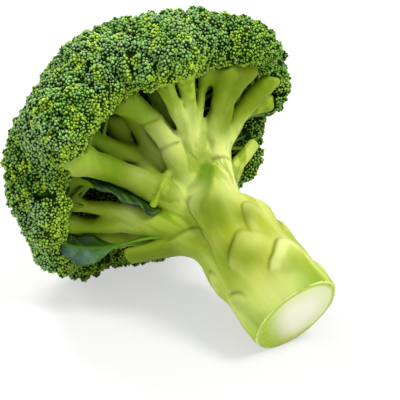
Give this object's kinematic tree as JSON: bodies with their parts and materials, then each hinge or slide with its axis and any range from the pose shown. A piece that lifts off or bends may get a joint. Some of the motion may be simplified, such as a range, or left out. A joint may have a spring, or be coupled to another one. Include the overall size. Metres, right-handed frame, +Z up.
{
  "type": "broccoli head",
  "caption": "Freshly cut broccoli head lying on its side, with a trimmed thick stalk, forking branches and a domed crown of green buds.",
  "frame": {"origin": "middle of the bounding box's underside, on the surface that the head lies on", "axes": "+Z up from that surface, +X from the crown towards the cut end of the stalk"},
  "size_m": [0.1582, 0.1328, 0.1321],
  "materials": {
    "stalk_skin": "smooth waxy pale green skin over firm plant flesh, satin, with fine lengthwise lines and thin brownish edges at the leaf scars",
    "branch_skin": "smooth pale yellow-green skin over firm plant flesh, satin, with fine lengthwise lines",
    "buds": "tight mass of matt round flower buds, blue-green on top and yellow-green between and at the rim",
    "leaf": "thin blue-green leaf with a waxy bloom and paler veins"
  },
  "bodies": {
    "root": {"branch_back": "branch_skin", "branch_crest": "branch_skin", "branch_front": "branch_skin", "branch_front_left": "branch_skin", "branch_left": "branch_skin", "branch_low_back": "branch_skin", "branch_low_front": "branch_skin", "branch_right_back": "branch_skin", "branch_right_upper": "branch_skin", "branch_rim_back": "branch_skin", "branch_rim_crest": "branch_skin", "branch_rim_front": "branch_skin", "branch_rim_left": "branch_skin", "branch_rim_low": "branch_skin", "branch_rim_low_back": "branch_skin", "branch_rim_low_front": "branch_skin", "branch_rim_low_left": "branch_skin", "branch_rim_right": "branch_skin", "branch_rim_tuft": "branch_skin", "branch_rim_upper": "branch_skin", "branch_top_front": "branch_skin", "branch_top_low": "branch_skin", "branch_top_right": "branch_skin", "branch_upper": "branch_skin", "floret_back": "buds", "floret_crest": "buds", "floret_front": "buds", "floret_front_left": "buds", "floret_left": "buds", "floret_low_back": "buds", "floret_low_front": "buds", "floret_right_back": "buds", "floret_right_upper": "buds", "floret_rim_back": "buds", "floret_rim_crest": "buds", "floret_rim_front": "buds", "floret_rim_left": "buds", "floret_rim_low": "buds", "floret_rim_low_back": "buds", "floret_rim_low_front": "buds", "floret_rim_low_left": "buds", "floret_rim_right": "buds", "floret_rim_tuft": "buds", "floret_rim_upper": "buds", "floret_top_front": "buds", "floret_top_low": "buds", "floret_top_right": "buds", "floret_upper": "buds", "leaf_inner": "leaf", "leaf_low": "leaf", "leaf_stub_back": "stalk_skin", "leaf_stub_front": "stalk_skin", "leaf_stub_long": "stalk_skin", "leaf_stub_right": "stalk_skin", "leaf_stub_small": "stalk_skin", "stalk": "stalk_skin"}
  },
  "joints": []
}
